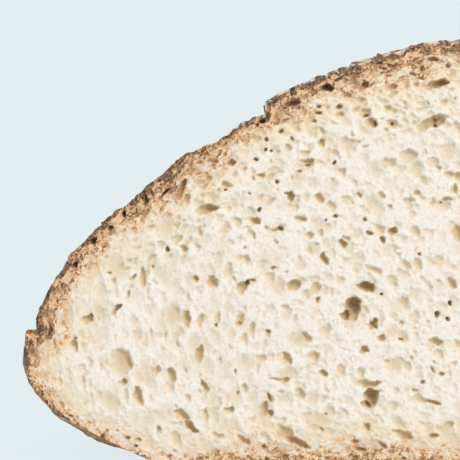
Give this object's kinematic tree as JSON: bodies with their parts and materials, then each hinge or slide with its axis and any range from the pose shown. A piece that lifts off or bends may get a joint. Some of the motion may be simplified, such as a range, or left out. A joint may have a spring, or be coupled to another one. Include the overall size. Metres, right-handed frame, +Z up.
{
  "type": "country loaf",
  "caption": "Large hearth-baked country loaf with one end cut away, showing a pale open crumb, a dark floury crust and a flat base it rests on.",
  "frame": {"origin": "centre of the overall footprint, on the surface the loaf rests on", "axes": "+X across the cut face, to the right as one looks at the crumb, +Y from the cut face into the loaf, +Z up"},
  "size_m": [0.2422, 0.1768, 0.1112],
  "materials": {
    "bread": "matte, cream crumb inside a dark brown crust dusted with flour"
  },
  "bodies": {
    "root": {"loaf": "bread"}
  },
  "joints": []
}
